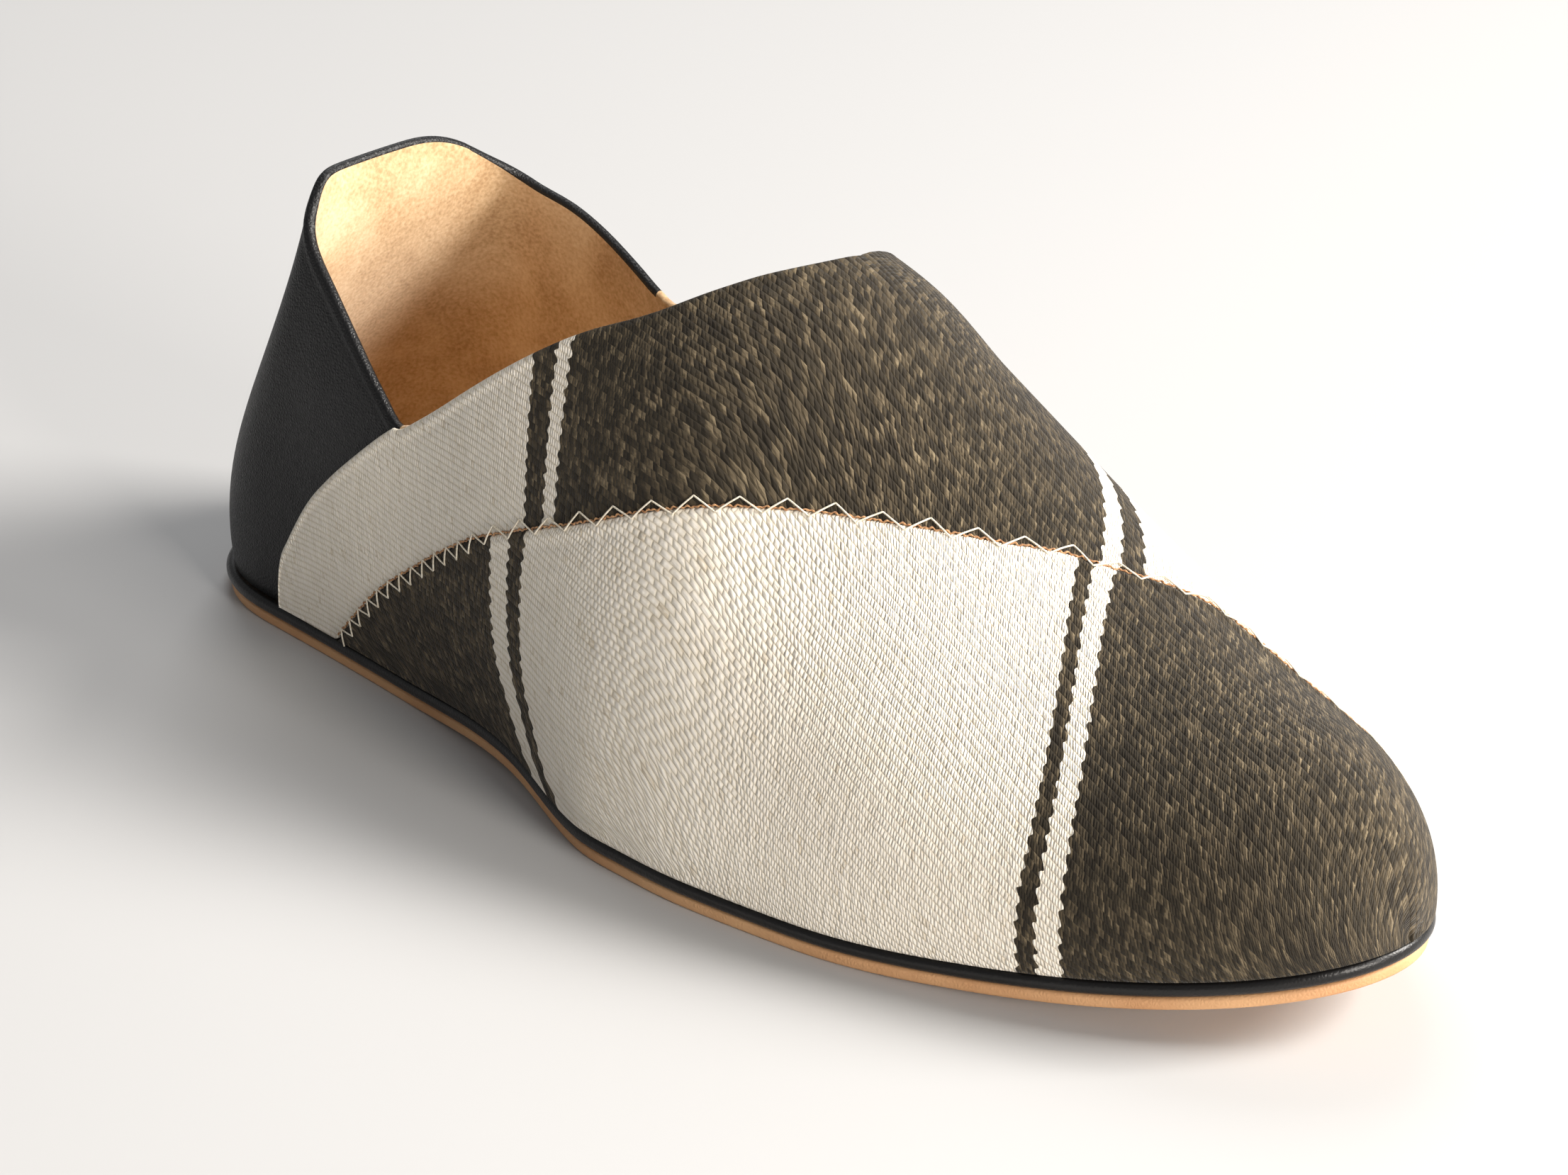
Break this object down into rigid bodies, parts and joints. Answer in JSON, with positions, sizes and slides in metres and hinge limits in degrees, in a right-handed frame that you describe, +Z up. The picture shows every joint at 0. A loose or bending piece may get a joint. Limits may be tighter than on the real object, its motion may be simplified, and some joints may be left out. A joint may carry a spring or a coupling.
{
  "type": "mule slipper",
  "caption": "Flat slip-on slipper with a striped woven cloth vamp, a black leather heel quarter and a thin leather sole, right foot.",
  "frame": {"origin": "under the middle of the shoe's box, on the plane that it stands on", "axes": "+X from heel to toe, +Y towards the inner side of the foot, +Z up"},
  "size_m": [0.257, 0.0902, 0.0904],
  "materials": {
    "sole_leather": "satin",
    "rand_leather": "satin",
    "lining_suede": "matte",
    "quarter_leather": "satin",
    "vamp_cloth": "matte",
    "band_cloth": "matte"
  },
  "bodies": {
    "root": {"outsole": "sole_leather", "rand": "rand_leather", "insole": "lining_suede", "upper": "quarter_leather", "vamp_front": "vamp_cloth", "instep_band": "band_cloth"}
  },
  "joints": []
}
